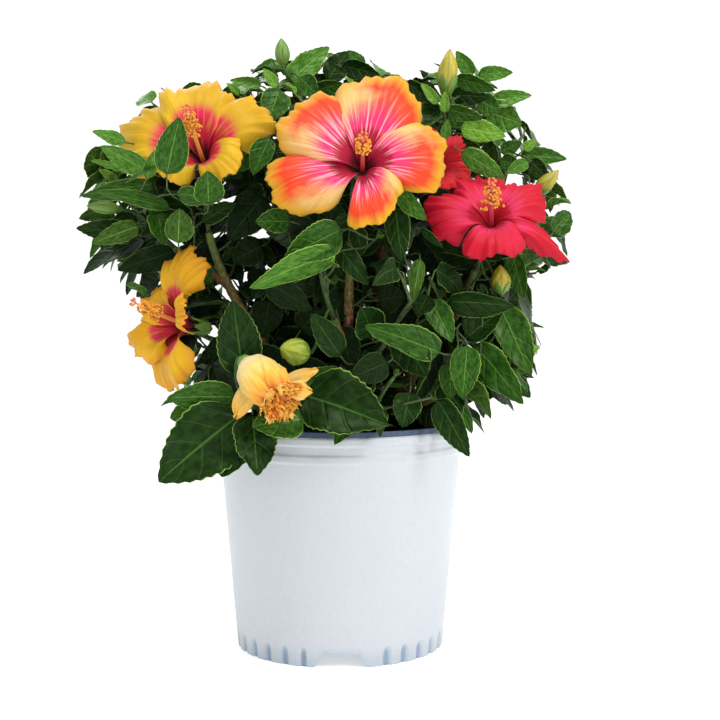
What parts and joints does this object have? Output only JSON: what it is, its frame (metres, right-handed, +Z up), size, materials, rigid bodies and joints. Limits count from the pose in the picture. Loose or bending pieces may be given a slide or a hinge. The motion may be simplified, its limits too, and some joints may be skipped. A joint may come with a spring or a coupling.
{
  "type": "potted hibiscus shrub",
  "caption": "Tropical hibiscus shrub with leafy branching stems, large open blooms and buds, growing in a white plastic nursery pot.",
  "frame": {"origin": "centre of the pot's flat underside, on the surface that the pot stands on", "axes": "+Z up along the pot's axis; -Y towards the side with the three large open blooms; +X to the right seen from that side"},
  "size_m": [0.4692, 0.3957, 0.5871],
  "materials": {
    "pot_plastic": "white polypropylene with a low sheen",
    "soil_mix": "dark, damp peat and bark potting mix",
    "bark": "grey-brown bark, green towards the tips",
    "foliage": "glossy green leaves, with blooms and buds in yellow, orange and red"
  },
  "bodies": {
    "root": {"bough_back": "bark", "bough_back_left": "bark", "bough_back_low_left": "bark", "bough_back_low_right": "bark", "bough_back_right": "bark", "bough_back_top_left": "bark", "bough_back_top_right": "bark", "bough_front": "bark", "bough_front_right": "bark", "bough_left": "bark", "bough_left_low": "bark", "bough_low_right": "bark", "bough_right_upper": "bark", "bough_side_left": "bark", "bough_side_right": "bark", "bough_skirt_front": "bark", "bough_skirt_left": "bark", "bough_top_right": "bark", "foliage_back": "foliage", "foliage_back_left": "foliage", "foliage_back_low_left": "foliage", "foliage_back_low_right": "foliage", "foliage_back_right": "foliage", "foliage_back_top_left": "foliage", "foliage_back_top_right": "foliage", "foliage_front": "foliage", "foliage_front_right": "foliage", "foliage_front_upper": "foliage", "foliage_left": "foliage", "foliage_left_low": "foliage", "foliage_left_upper": "foliage", "foliage_low_right": "foliage", "foliage_right": "foliage", "foliage_right_upper": "foliage", "foliage_side_left": "foliage", "foliage_side_right": "foliage", "foliage_skirt_front": "foliage", "foliage_skirt_left": "foliage", "foliage_top": "foliage", "foliage_top_left": "foliage", "foliage_top_right": "foliage", "nursery_pot": "pot_plastic", "potting_soil": "soil_mix", "stem_back_left": "bark", "stem_back_right": "bark", "stem_centre": "bark", "stem_left": "bark", "stem_right": "bark"}
  },
  "joints": []
}
